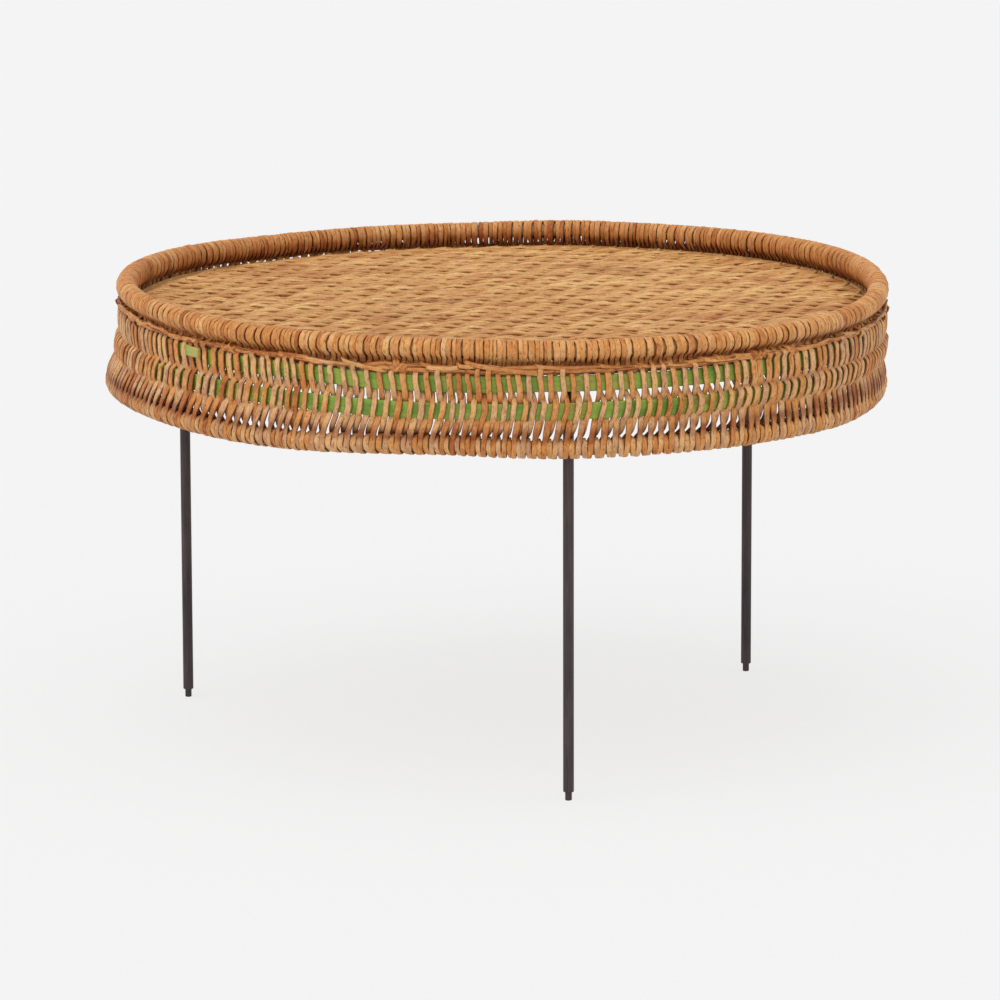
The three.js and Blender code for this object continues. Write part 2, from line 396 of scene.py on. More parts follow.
class Nodes:
    """Short calls for the node tree of a material or of the world."""

    def __init__(self, owner):
        self.owner = owner
        self.owner.use_nodes = True
        self.tree = owner.node_tree
        self.shader = self.tree.nodes.get("Principled BSDF")

    def add(self, kind, inputs=None, **settings):
        node = self.tree.nodes.new(kind)
        for key, value in settings.items():
            setattr(node, key, value)
        for key, value in (inputs or {}).items():
            self.put(node.inputs[key], value)
        return node

    def put(self, socket, value):
        if isinstance(value, bpy.types.NodeSocket):
            self.tree.links.new(value, socket)
        else:
            socket.default_value = value

    def noise(self, vector, scale, detail, roughness=0.55):
        inputs = {"Vector": vector, "Scale": scale, "Detail": detail, "Roughness": roughness}
        return self.add("ShaderNodeTexNoise", inputs).outputs["Fac"]

    def drawn_noise(self, vector, scales, *settings):
        """Noise with its own scale along each axis, so that it is drawn out."""
        node = self.add("ShaderNodeMapping", {"Vector": vector, "Scale": scales})
        return self.noise(node.outputs["Vector"], 1.0, *settings)

    def attribute(self, name):
        return self.add("ShaderNodeAttribute", attribute_name=name).outputs["Fac"]

    def uv(self):
        return self.add("ShaderNodeUVMap", uv_map="UVMap").outputs["UV"]

    def position(self):
        return self.add("ShaderNodeNewGeometry").outputs["Position"]

    def ramp(self, factor, stops):
        """Each stop is a position, a red, a green and a blue."""
        node = self.add("ShaderNodeValToRGB", {"Fac": factor})
        while len(node.color_ramp.elements) < len(stops):
            node.color_ramp.elements.new(0.5)
        for element, (position, *color) in zip(node.color_ramp.elements, stops):
            element.position = position
            element.color = linear(*color)
        return node.outputs["Color"]

    def grade(self, factor, low, high, to_low=0.0, to_high=1.0):
        inputs = {0: factor, 1: low, 2: high, 3: to_low, 4: to_high}
        return self.add("ShaderNodeMapRange", inputs, clamp=True).outputs[0]

    def mix(self, factor, first, second):
        node = self.add("ShaderNodeMix", data_type="RGBA")
        self.put(node.inputs[0], factor)
        self.put(node.inputs[6], first)
        self.put(node.inputs[7], second)
        return node.outputs[2]

    def math(self, operation, first, second):
        node = self.add("ShaderNodeMath", operation=operation)
        self.put(node.inputs[0], first)
        self.put(node.inputs[1], second)
        return node.outputs[0]

    def bump(self, height, distance, strength, normal=None):
        inputs = {"Height": height, "Distance": distance, "Strength": strength}
        node = self.add("ShaderNodeBump", inputs)
        if normal is not None:
            self.put(node.inputs["Normal"], normal)
        return node.outputs["Normal"]

    def finish(self, color, roughness, normal, metallic=0.0, specular=0.5):
        self.put(self.shader.inputs["Base Color"], color)
        self.put(self.shader.inputs["Roughness"], roughness)
        self.put(self.shader.inputs["Normal"], normal)
        self.shader.inputs["Metallic"].default_value = metallic
        self.shader.inputs["Specular IOR Level"].default_value = specular
        return self.owner


def rattan_material(name, tones, stain_and_shade_color, crevice_shade_share):
    """Split rattan: each strand has its own tone, with fibres, dark flecks, pale flecks as painted
    glints, stains with painted shade, and painted shade on its side edges, where strands meet.
    """
    n = Nodes(bpy.data.materials.new(name))
    uv = n.uv()
    patches = n.drawn_noise(uv, (80, 150, 1), 4.0)
    drift = n.noise(n.position(), 16.0, 3.0)
    shifted = n.math("ADD", n.attribute("tone"), n.grade(patches, 0.3, 0.7, -0.24, 0.24))
    shifted = n.math("ADD", shifted, n.grade(drift, 0.3, 0.7, -0.12, 0.12))
    color = n.ramp(shifted, tones)

    fibres = n.drawn_noise(uv, (70, 2300, 1), 5.0, 0.6)
    color = n.mix(n.grade(fibres, 0.3, 0.62, 0.42, 0.0), color, linear(126, 70, 22))
    flecks = n.drawn_noise(uv, (300, 620, 1), 2.0)
    color = n.mix(n.grade(flecks, 0.56, 0.70, 0.0, 0.7), color, linear(116, 56, 14))
    # Painted glints: pale specks where the fleck noise is low.
    color = n.mix(n.grade(flecks, 0.42, 0.30, 0.0, 0.25), color, linear(240, 200, 140))
    # Stains and painted shade, from the per-point attribute, mottled by a noise.
    blush = n.drawn_noise(uv, (60, 90, 1), 3.0)
    stain_and_shade_share = n.math("MULTIPLY", n.attribute("stain"), n.grade(blush, 0.30, 0.60, 0.35, 1.0))
    color = n.mix(stain_and_shade_share, color, stain_and_shade_color)
    # Painted shade: each strand is darkened along its side edges, where strands meet.
    crevice_shade = n.grade(n.attribute("edge"), 0.80, 1.0, 0.0, crevice_shade_share)
    color = n.mix(crevice_shade, color, linear(70, 26, 4))

    grain = n.bump(fibres, 0.25 * MM, 0.5)
    lumps = n.drawn_noise(uv, (150, 260, 1), 2.0)
    normal = n.bump(lumps, 0.5 * MM, 0.35, grain)
    roughness = n.grade(fibres, 0.3, 0.7, 0.62, 0.46)
    return n.finish(color, roughness, normal, specular=0.22)


def cane_material():
    """Flat cane strip, dyed green, with browner patches, fibres, flecks and a bare end."""
    n = Nodes(bpy.data.materials.new("green_cane"))
    uv = n.uv()
    patches = n.noise(n.position(), 26.0, 4.0)
    color = n.ramp(patches, [
        (0.30, 80, 118, 32), (0.42, 112, 148, 46),
        (0.52, 144, 170, 62), (0.62, 164, 160, 62), (0.70, 124, 100, 40),
    ])
    fibres = n.drawn_noise(uv, (22, 1500, 1), 5.0, 0.6)
    color = n.mix(n.grade(fibres, 0.28, 0.6, 0.45, 0.0), color, linear(74, 96, 24))
    color = n.mix(n.attribute("stain"), color, linear(186, 160, 92))
    flecks = n.drawn_noise(uv, (160, 700, 1), 2.0)
    color = n.mix(n.grade(flecks, 0.62, 0.7, 0.0, 0.6), color, linear(88, 84, 34))
    normal = n.bump(fibres, 0.3 * MM, 0.45)
    return n.finish(color, n.grade(fibres, 0.3, 0.7, 0.55, 0.38), normal, specular=0.4)


def iron_material():
    """Drawn iron rod with a dark brown patina, rubbed streaks and fine pits."""
    n = Nodes(bpy.data.materials.new("iron_patina"))
    position = n.position()
    streaks = n.drawn_noise(position, (900, 900, 14), 5.0, 0.65)
    clouds = n.drawn_noise(position, (60, 60, 16), 4.0)
    pits = n.noise(position, 1500.0, 3.0)
    color = n.ramp(clouds, [
        (0.30, 44, 36, 38), (0.50, 62, 52, 53), (0.72, 84, 70, 68),
    ])
    color = n.mix(n.grade(streaks, 0.45, 0.75, 0.0, 0.45), color, linear(104, 92, 92))
    color = n.mix(n.grade(pits, 0.60, 0.74, 0.0, 0.5), color, linear(84, 52, 40))
    normal = n.bump(streaks, 0.12 * MM, 0.4)
    normal = n.bump(pits, 0.10 * MM, 0.35, normal)
    roughness = n.grade(clouds, 0.3, 0.7, 0.42, 0.62)
    return n.finish(color, roughness, normal, metallic=0.35, specular=0.4)


def pole_material():
    """Rattan pole with long fibres, pale and dark patches and a matt skin."""
    n = Nodes(bpy.data.materials.new("rattan_pole"))
    uv = n.uv()
    fibres = n.drawn_noise(uv, (30, 1700, 1), 5.0, 0.6)
    patches = n.drawn_noise(uv, (14, 30, 1), 3.0)
    color = n.ramp(patches, [
        (0.3, 168, 118, 70), (0.5, 192, 146, 92), (0.7, 206, 164, 108),
    ])
    color = n.mix(n.grade(fibres, 0.3, 0.6, 0.5, 0.0), color, linear(112, 72, 40))
    normal = n.bump(fibres, 0.3 * MM, 0.5)
    return n.finish(color, n.grade(fibres, 0.3, 0.7, 0.7, 0.55), normal, specular=0.3)


RATTAN_TONES = [
    (0.00, 162, 90, 44),
    (0.18, 190, 118, 60),
    (0.38, 208, 140, 76),
    (0.58, 216, 155, 92),
    (0.76, 226, 174, 114),
    (0.90, 218, 172, 124),
    (1.00, 196, 146, 104),
]
FLOOR_TONES = [
    (0.00, 166, 98, 48),
    (0.25, 186, 126, 68),
    (0.50, 202, 147, 86),
    (0.75, 216, 166, 102),
    (1.00, 232, 188, 122),
]
RATTAN = rattan_material("rattan", RATTAN_TONES, linear(116, 50, 14), 0.85)
FLOOR_RATTAN = rattan_material("rattan_floor", FLOOR_TONES, linear(120, 62, 24), 0.30)
CANE = cane_material()
IRON = iron_material()
POLE = pole_material()


# Iron stand

TIP_WIDTH = 6.3 * MM
TIP_LENGTH = 8 * MM
BEVEL = 0.35 * MM
SHARP_ANGLE = math.radians(35)
ROD_SIDES = 48
RING_SIDES = 28


def lathe(name, profile, centre, sides, material):
    """A turned piece from radius and level points that start and end on its axis."""
    turns = np.arange(sides) / sides * FULL_TURN
    points = [(centre[0], centre[1], profile[0][1])]
    for radius, level in profile[1:-1]:
        for turn in turns:
            x = centre[0] + radius * math.cos(turn)
            y = centre[1] + radius * math.sin(turn)
            points.append((x, y, level))
    points.append((centre[0], centre[1], profile[-1][1]))
    rows = len(profile) - 2
    faces = []
    for i in range(sides):
        j = (i + 1) % sides
        faces.append((0, 1 + j, 1 + i))
        for row in range(rows - 1):
            a, b = 1 + row * sides, 1 + (row + 1) * sides
            faces.append((a + i, a + j, b + j, b + i))
        a = 1 + (rows - 1) * sides
        faces.append((a + i, a + j, len(points) - 1))
    mesh = bpy.data.meshes.new(name)
    mesh.from_pydata(points, [], faces)
    mesh.materials.append(material)
    for polygon in mesh.polygons:
        polygon.use_smooth = len(polygon.vertices) == 4
    mesh.set_sharp_from_angle(angle=SHARP_ANGLE)
    return bpy.data.objects.new(name, mesh)


def make_stand():
    """Three turned legs with narrow pegs, and the ring round their tops."""
    for node in ("leg_front", "leg_right", "leg_left"):
        low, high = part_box(node)
        middle = (low + high) / 2
        radius = (high.x - low.x) / 2
        tip = TIP_WIDTH / 2
        profile = [
            (0, 0), (tip - BEVEL, 0), (tip, BEVEL), (tip, TIP_LENGTH),
            (radius - BEVEL, TIP_LENGTH), (radius, TIP_LENGTH + BEVEL),
            (radius, high.z - BEVEL), (radius - BEVEL, high.z), (0, high.z),
        ]
        leg = lathe(f"{node}_rod", profile, (middle.x, middle.y), ROD_SIDES, IRON)
        place_piece(leg, "iron", node)
    outer, low, high = ring_levels("frame_ring")
    half = (high - low) / 2
    ring = hoop_tube("frame_ring_rod", outer - half, (low + high) / 2, 2 * half, IRON, RING_SIDES, False)
    place_piece(ring, "iron", "frame_ring")


# Hoops and bands

def hoop_tube(name, radius, level, width, material, sides, bent=True):
    """A round hoop, as an open tube whose last ring meets its first."""
    turn = np.linspace(0, FULL_TURN, HOOP_STEPS + 1)
    path = around_axis(turn, radius, level)
    outward = around_axis(turn, 1, 0)
    if bent:
        path = handmade(path)
    ones = np.ones_like(turn)[None]
    tube = TubeMesh()
    rings = sweep(path[None], outward[None], ones * width, ones * width, round_section(sides))
    tube.add(rings, ones * 0.5, ones * 0.0, np.random.default_rng(5))
    return tube.make(name, material)


def make_band(name, node, seed, start_turn, end_out, end_up):
    """A strip bent round once. Its start is tucked in, and its end may stand out of the weave."""
    outer, low, high = ring_levels(node)
    rng = np.random.default_rng(seed)
    turn = np.linspace(start_turn, start_turn + FULL_TURN + BAND_OVERLAP, HOOP_STEPS + 1)
    radius = np.full_like(turn, outer - BAND_THICKNESS / 2)
    radius += wave_round(turn, rng, (7, 11, 17), 0.15 * MM)
    travel = turn - start_turn
    past = travel - FULL_TURN
    radius -= TUCK_DEPTH * (1 - smooth_step(0.0, TUCK_RUN, travel))
    radius += end_out * smooth_step(-0.05, 0.02, past)
    level = (low + high) / 2 + wave_round(turn, rng, (9, 14, 21), 0.25 * MM)
    level += end_up * smooth_step(-0.10, 0.01, past)
    width = (high - low) + wave_round(turn, rng, (6, 10, 19), 0.5 * MM)
    width *= 1 - END_NARROWING * smooth_step(-0.10, 0.02, past)
    path = around_axis(turn, radius, level)
    outward = around_axis(turn, 1, 0)
    thickness = np.full_like(turn, BAND_THICKNESS - BAND_WEAR)
    rings = sweep(handmade(path[None]), outward[None], width[None], thickness[None], band_section())
    tube = TubeMesh()
    bare = END_BARENESS * smooth_step(-0.06, -0.01, past - BAND_OVERLAP)
    tube.add(rings, np.full((1, len(turn)), 0.5), bare[None], rng)
    place_piece(tube.make(name, CANE), "green_cane", node)


def make_hoops():
    make_band("upper_band_strip", "upper_band", 21, math.radians(-141.5), 6.0 * MM, 3.2 * MM)
    make_band("lower_band_strip", "lower_band", 22, math.radians(118), 0.0, 0.0)
    floor_hoop_r = core_centre("floor_hoop")[0]
    rim_width = 2 * (RIM_ROLL - STRAND_THICKNESS - CORE_GAP)
    base_width = 2 * (BASE_ROLL - STRAND_THICKNESS - CORE_GAP)
    hoops = (
        ("rim_core", RIM_R, RIM_Z, rim_width, CORE_SIDES),
        ("base_core", BASE_R, BASE_Z, base_width, CORE_SIDES),
        ("floor_hoop", floor_hoop_r, FLOOR_LOW - FLOOR_HOOP_DROP, FLOOR_HOOP_WIDTH, FLOOR_HOOP_SIDES),
    )
    for node, radius, level, width, sides in hoops:
        place_piece(hoop_tube(f"{node}_pole", radius, level, width, POLE, sides), "pole", node)


# Rim, apron and base strands

# How far above the lower band strands cross, and how far below it they cross again
CROSS_RISE = 3.2 * MM
LOW_CROSS_DROP = 2.6 * MM

# How much narrower the rear's strands are just under the rim
REAR_NARROWING = 0.42

# Where strands are pushed together: the middle of the place, its reach and by what share
CROWDED = (
    (math.radians(-123), math.radians(7), 0.17),
    (math.radians(-92), math.radians(9), 0.16),
)

# How far the binder's row lies below the rim's middle, the share of strands that pass outside
# it there, and how far these stand out
BINDER_DROP = 15.4 * MM
PROUD_SHARE = 0.24
PROUD_RISE = 6.0 * MM

# How full the wraps lie, and how much wider the apron's strands are at both sides
RIM_FULLNESS = 1.02
BASE_FULLNESS = 1.03
SIDE_WIDENING = 0.30

# Shares of the strands that are reddish all over, and that are pinkish in the apron
RED_SHARE = 0.08
PINK_SHARE = 0.46


# A control point of a strand is its radius, its level, its place in pairs, how far it follows
# the wraps of the rim, from 0 to 1, and a factor on its width

def arc(centre_r, centre_z, radius, start, stop, steps, turn_from, turn_to, rim, width):
    """Control points on a roll, from one angle of its section to another."""
    rows = []
    for i in range(steps + 1):
        share = i / steps
        angle = math.radians(start + (stop - start) * share)
        turn = turn_from + (turn_to - turn_from) * share
        rows.append((
            centre_r + radius * math.cos(angle), centre_z + radius * math.sin(angle), turn, rim, width,
        ))
    return rows


def rim_controls(turn):
    """From the floor's edge up the inside of the rim roll, over it and down its outside."""
    reach = RIM_ROLL - HALF
    return [
        (RIM_R - 0.8 * MM, RIM_Z - 14.4 * MM, turn, 1, 0.56),
        (RIM_R - 4.2 * MM, RIM_Z - 11.6 * MM, turn, 1, 0.60),
        (RIM_R - 7.4 * MM, RIM_Z - 7.0 * MM, turn, 1, 0.80),
        *arc(RIM_R, RIM_Z, reach, 192, -20, 11, turn, turn, 1, 1.0),
        *arc(RIM_R, RIM_Z, reach, -40, -66, 1, turn, turn, 1, 0.84),
    ]


def outer_controls():
    """A strand that passes outside the upper band, inside the lower one and outside the base."""
    upper_r = UPPER_OUT + BAND_TOUCH + HALF
    lower_r = LOWER_OUT - BAND_THICKNESS - BAND_TOUCH - HALF
    low_cross_r = LOWER_OUT - BAND_THICKNESS / 2 + 0.6 * MM
    return [
        *rim_controls(0.0),
        (RIM_R + 1.0 * MM, RIM_Z - 12.4 * MM, -0.04, 0.7, 0.94),
        (RIM_R + 3.6 * MM, RIM_Z - 16.6 * MM, -0.10, 0.3, 1.0),
        (upper_r - 0.2 * MM, UPPER_HIGH - 0.6 * MM, -0.08, 0, 1.0),
        (upper_r + 0.3 * MM, UPPER_Z, 0.0, 0, 1.0),
        (upper_r, UPPER_LOW + 0.5 * MM, 0.06, 0, 1.0),
        (CROSS_R, LOWER_HIGH + CROSS_RISE, 0.10, 0, 1.08),
        (lower_r + 0.3 * MM, LOWER_HIGH - 1.0 * MM, 0.12, 0, 1.0),
        (lower_r, LOWER_Z, 0.12, 0, 1.0),
        (lower_r + 0.6 * MM, LOWER_LOW + 1.5 * MM, 0.12, 0, 1.0),
        (low_cross_r, LOWER_LOW - LOW_CROSS_DROP, 0.09, 0, 1.10),
        (BASE_R + 7.0 * MM, BASE_Z + 11.4 * MM, 0.03, 0, 1.0),
        *arc(BASE_R, BASE_Z, BASE_ROLL - HALF + 0.15 * MM, 30, -20, 3, 0.0, -0.04, 0, 1.0),
        *arc(BASE_R, BASE_Z, BASE_ROLL - HALF + 0.05 * MM, -40, -196, 8, -0.06, 0.25, 0, 0.96),
    ]


def inner_controls():
    """A strand that passes inside the upper band, outside the lower one and inside the base."""
    upper_r = UPPER_OUT - BAND_THICKNESS - BAND_TOUCH - HALF
    lower_r = LOWER_OUT + BAND_TOUCH + HALF
    low_cross_r = LOWER_OUT - BAND_THICKNESS / 2 + 0.2 * MM
    return [
        *rim_controls(0.5),
        (RIM_R + 0.2 * MM, RIM_Z - 12.8 * MM, 0.44, 0.7, 0.98),
        (upper_r + 0.1 * MM, UPPER_HIGH + 0.6 * MM, 0.34, 0.1, 1.0),
        (upper_r, UPPER_Z, 0.25, 0, 1.0),
        (upper_r + 0.3 * MM, UPPER_LOW + 0.5 * MM, 0.32, 0, 1.0),
        (CROSS_R, LOWER_HIGH + CROSS_RISE, 0.50, 0, 1.08),
        (lower_r - 0.3 * MM, LOWER_HIGH - 1.0 * MM, 0.56, 0, 1.0),
        (lower_r + 0.3 * MM, LOWER_Z, 0.58, 0, 1.0),
        (lower_r - 0.2 * MM, LOWER_LOW + 1.5 * MM, 0.54, 0, 1.0),
        (low_cross_r, LOWER_LOW - LOW_CROSS_DROP, 0.52, 0, 1.10),
        (BASE_R + 1.6 * MM, BASE_Z + 14.6 * MM, 0.42, 0, 1.0),
        *arc(BASE_R, BASE_Z, BASE_ROLL - HALF, 130, 200, 3, 0.22, 0.10, 0, 0.96),
        *arc(BASE_R, BASE_Z, BASE_ROLL - HALF - 0.3 * MM, 220, 340, 6, 0.0, -0.52, 0, 0.96),
        *arc(BASE_R, BASE_Z, BASE_ROLL - HALF, 356, 408, 3, -0.54, -0.54, 0, 1.0),
        *arc(BASE_R, BASE_Z, BASE_ROLL - HALF - 0.8 * MM, 434, 464, 2, -0.54, -0.50, 0, 0.92),
    ]


def rim_places(rng):
    """Where each wrap of the rim lies and how wide it is, in pairs. They lie in tight groups."""
    wraps = 2 * PAIRS
    block = 14
    widths = np.clip(rng.normal(1.0, 0.24, wraps), 0.55, 1.6)
    gaps = np.zeros(wraps)
    place = 0
    while place < wraps:
        place += int(rng.integers(3, 9))
        if place < wraps:
            gaps[place] = rng.uniform(0.02, 0.16)
    cells = widths + gaps
    blocks = cells.reshape(-1, block)
    scale = (block / blocks.sum(axis=1))[:, None]
    widths = (widths.reshape(-1, block) * scale).reshape(-1)
    cells = (blocks * scale).reshape(-1)
    centres = starts_of(cells) + cells - widths / 2
    return (centres - 0.5) / 2, widths / 2


def crowding(place):
    """How far, in pairs, the strands are pushed along the ring."""
    shift = wave_round(place, np.random.default_rng(17), (5, 9, 13, 21), 0.16)
    for middle, reach, share in CROWDED:
        away = ((place - middle + math.pi) % FULL_TURN - math.pi) / reach
        shift -= share * reach * PAIRS / FULL_TURN * away * np.exp(-away ** 2 / 2)
    return shift


def weave_strands(controls, rim_turns, rim_widths, rng):
    """Paths, outward directions, widths and thicknesses of all strands of one kind."""
    rows = np.array(controls)
    pair = np.arange(PAIRS, dtype=float)
    pair_angle = pair / PAIRS * FULL_TURN
    count = len(rows)
    table = np.repeat(rows[None], PAIRS, axis=0)
    rim = table[:, :, 3]

    own_lean = rng.normal(0, 0.08, (PAIRS, 2))
    depth = (UPPER_Z - table[:, :, 1]) / (UPPER_HIGH - BASE_Z)
    jitter = rng.normal(0, 0.03, (PAIRS, count)) + own_lean[:, :1] + own_lean[:, 1:] * depth
    loose = smooth_step(BASE_Z + 4 * MM, LOWER_LOW, table[:, :, 1]) * 0.7 + 0.3
    apron_turn = table[:, :, 2] + jitter * loose
    lean = wave_round(pair_angle, rng, (3, 6, 11, 23), 0.16)[:, None]
    rim_turn = rim_turns[:, None] - pair[:, None] + lean * (table[:, :, 0] - RIM_R) / RIM_ROLL
    rim_turn = rim_turn + rng.normal(0, 0.02, (PAIRS, count))
    turn = pair[:, None] + rim * rim_turn + (1 - rim) * apron_turn
    place = turn / PAIRS * FULL_TURN
    drift = wave_round(place, np.random.default_rng(19), (4, 7, 12, 19), 0.18)
    turn = turn + crowding(place) + (1 - rim) * drift * depth
    density = 1 + np.gradient(crowding(pair_angle))

    points = np.stack([table[:, :, 0], table[:, :, 1], turn * FULL_TURN / PAIRS * RIM_R], axis=-1)
    points[:, :, 0] += rng.normal(0, 0.16 * MM, (PAIRS, count)) + rng.normal(0, 0.12 * MM, (PAIRS, 1))
    points[:, :, 1] += rng.normal(0, 0.16 * MM, (PAIRS, count))
    at_neck = np.abs(table[:, :, 1] - (RIM_Z - BINDER_DROP)) < 3 * MM
    proud = (rng.uniform(0, 1, PAIRS) < PROUD_SHARE)[:, None] & (table[:, :, 0] > RIM_R + 2 * MM)
    points[:, :, 0] += PROUD_RISE * (at_neck & proud)
    places = even_places(rows[:, :2], STEP)
    line = catmull(points, places)
    radius, level, angle = line[..., 0], line[..., 1], line[..., 2] / RIM_R
    path = around_axis(angle, radius, level)
    slope = unit(np.gradient(line[..., :2], axis=1))
    outward = around_axis(angle, -slope[..., 1], slope[..., 0])

    factors = catmull(table[:, :, 3:5], places)
    rim_share, factor = np.clip(factors[..., 0], 0, 1), factors[..., 1]
    own = np.clip(rng.normal(1.0, 0.08, (PAIRS, 1)), 0.84, 1.2)
    swell = 1 + 0.06 * np.sin(np.arange(len(places)) * 0.21 + rng.uniform(0, FULL_TURN, (PAIRS, 1)))
    pitch = FULL_TURN * radius / PAIRS
    rim_width = rim_widths[:, None] * density[:, None] * pitch * RIM_FULLNESS
    base_width = 0.5 * density[:, None] * pitch * BASE_FULLNESS
    side_share = smooth_step(0.52, 0.68, np.abs(np.cos(angle)))
    own = own * (1 + SIDE_WIDENING * side_share)
    uneven = 0.4 + np.clip(wave_round(angle, np.random.default_rng(23), (15, 26, 37), 0.9), -0.4, 0.9)
    rear_share = smooth_step(0.35, 0.7, np.sin(angle))
    neck_share = smooth_step(UPPER_HIGH - 4 * MM, UPPER_HIGH + 1 * MM, level)
    own = own * (1 - REAR_NARROWING * uneven * rear_share * neck_share)
    base_share = 1 - smooth_step(BASE_Z + 9 * MM, BASE_Z + 15 * MM, level)
    apron_share = 1 - rim_share - base_share
    width = rim_share * rim_width + base_share * base_width + apron_share * STRAND_WIDTH * own * swell
    width = width * factor
    thickness = STRAND_THICKNESS * np.clip(rng.normal(1.0, 0.10, (PAIRS, 1)), 0.80, 1.2)
    thickness = thickness * (0.86 + 0.14 * width / STRAND_WIDTH)
    return handmade(path), outward, width, thickness, rim_share


def strand_tones(rng, rim_share):
    """A tone for each strand that wanders along it. The apron is browner or pinker than the rim."""
    steps = rim_share.shape[1]
    base = np.clip(rng.normal(0.50, 0.10, (PAIRS, 1)), 0.2, 0.8)
    red = rng.uniform(0, 1, (PAIRS, 1)) < RED_SHARE
    base = np.where(red, rng.uniform(0.08, 0.26, (PAIRS, 1)), base)
    wander = 0.07 * np.sin(np.linspace(0, 6, steps) + rng.uniform(0, FULL_TURN, (PAIRS, 1)))
    pink = rng.uniform(0, 1, (PAIRS, 1)) < PINK_SHARE
    apron = np.where(pink, rng.uniform(0.84, 0.97, (PAIRS, 1)), base - 0.10)
    return np.where(rim_share > 0.35, base, apron) + wander


def strand_stains(path, rim_share, rng):
    """Darker, redder inside the rim, more so at the rear; painted shade under the roll's inside, in the
    neck under the rim, on the base's top and at the lower band's top edge, where strands cross; and
    stains in patches.
    """
    radius = np.hypot(path[..., 0], path[..., 1])
    angle = np.arctan2(path[..., 1], path[..., 0])
    level = path[..., 2]
    inside = (1 - smooth_step(RIM_R - RIM_ROLL, RIM_R + 2 * MM, radius)) * rim_share
    under_roll_shade = (1 - smooth_step(RIM_Z - 10 * MM, RIM_Z + 1 * MM, level)) * (radius < RIM_R)
    rear = smooth_step(-0.1, 0.3, path[..., 1])
    base_top_shade = bell(level - BASE_Z - 10 * MM, 6 * MM)
    neck_shade = bell(level - RIM_Z + 13 * MM, 4 * MM)
    crossing_shade = bell(level - LOWER_HIGH + 1 * MM, 2.5 * MM)
    patches = np.clip(wave_round(angle, rng, (5, 9, 14, 22, 31), 0.22), 0, 0.4)
    # Painted shade under the roll's inside, in the neck, on the base's top and at the lower band's top
    # edge; the inside of the rim is darker and redder.
    shade = inside * (0.20 + 0.04 * rear) + 0.85 * base_top_shade + 0.85 * neck_shade + 0.30 * crossing_shade
    shade += 0.75 * under_roll_shade * rim_share
    return np.clip(shade + patches, 0, 0.85)


def make_strands():
    rng = np.random.default_rng(7)
    turns, widths = rim_places(rng)
    section = strand_section(SECTION_SIDES, 0.10, 0.7)
    kinds = (
        ("outer_strands", "rim_strands", outer_controls(), 0, "rattan"),
        ("inner_strands", "base_strands", inner_controls(), 1, "dark_rattan"),
    )
    for name, node, controls, first, slot in kinds:
        path, outward, width, thickness, rim_share = weave_strands(
            controls, turns[first::2], widths[first::2], rng)
        rings = sweep(path, outward, width, thickness, section)
        tones = strand_tones(rng, rim_share)
        stains = strand_stains(path, rim_share, rng)
        sector = (np.arange(PAIRS) * SECTORS) // PAIRS
        for number in range(SECTORS):
            chosen = sector == number
            tube = TubeMesh()
            tube.add(rings[chosen], tones[chosen], stains[chosen], rng)
            piece = tube.make(f"{name}_{number + 1}", RATTAN)
            place_piece(piece, slot, f"{node}_{number + 1}")


# Binder

BINDER_WIDTH = 4.1 * MM
BINDER_THICKNESS = 3.4 * MM
BINDER_R = RIM_R + 6.6 * MM
BINDER_Z = RIM_Z - BINDER_DROP
BINDER_SPACING = 2.5 * MM
SWAP_SHARE = 0.25
DIVE_R = RIM_R + 0.5 * MM
DIVE_RUN = 1.2 * MM
STITCH_SHARES = (0.12, 0.38, 0.64, 0.88)
STITCH_STEP = 1.4 * MM

# Where the binder was knotted
KNOT_STITCHES = 5
KNOTS = [math.radians(angle) for angle in (-133, -104.5, -56.5, -50.5, -44, 25, 70, 118, 152)]

# Thicker pieces that hang off the binder: start, length, and level at both ends
LOOSE_WIDTH = 4.6 * MM
LOOSE_SAG = 0.8 * MM
LOOSE_RISE = 1.4 * MM
LOOSE_PIECES = (
    (math.radians(-94.8), math.radians(10.6), 4.0 * MM, -3.0 * MM),
    (math.radians(-100.5), math.radians(4.6), 1.0 * MM, 1.0 * MM),
    (math.radians(-113), math.radians(6.5), 2.4 * MM, -3.2 * MM),
    (math.radians(-60), math.radians(6.0), 2.0 * MM, -1.0 * MM),
)


def add_stitch(tube, rng, start, length, start_z, end_z, sag, width, rise):
    """One strand that comes out of the neck, runs along it and dives in again."""
    dive = DIVE_RUN / BINDER_R
    rows = [(DIVE_R, start_z + 1.0 * MM, start - dive), (BINDER_R - 1.6 * MM, start_z + 0.3 * MM, start)]
    for share in STITCH_SHARES:
        level = start_z + (end_z - start_z) * share - sag * math.sin(math.pi * share)
        rows.append((BINDER_R + rise + rng.uniform(-0.3, 0.5) * MM, level, start + length * share))
    rows.append((BINDER_R - 1.6 * MM, end_z - 0.4 * MM, start + length))
    rows.append((DIVE_R, end_z - 1.4 * MM, start + length + dive))
    controls = np.array(rows)
    controls[:, 2] *= BINDER_R
    places = even_places(controls, STITCH_STEP)
    line = catmull(controls[None], places)[0]
    angle = line[:, 2] / BINDER_R
    path = around_axis(angle, line[:, 0], line[:, 1])
    twist = rng.uniform(-0.5, 0.5) + np.linspace(0, rng.uniform(-1.6, 1.6), len(places))
    outward = around_axis(angle, np.cos(twist), np.sin(twist))
    ones = np.ones((1, len(places)))
    section = strand_section(SECTION_SIDES, 0.10, 0.9)
    rings = sweep(handmade(path[None]), outward[None], width * ones, BINDER_THICKNESS * ones, section)
    tone = np.clip(rng.normal(0.38, 0.16), 0.05, 0.8)
    tube.add(rings, tone * ones, rng.uniform(0, 0.35) * ones, rng)


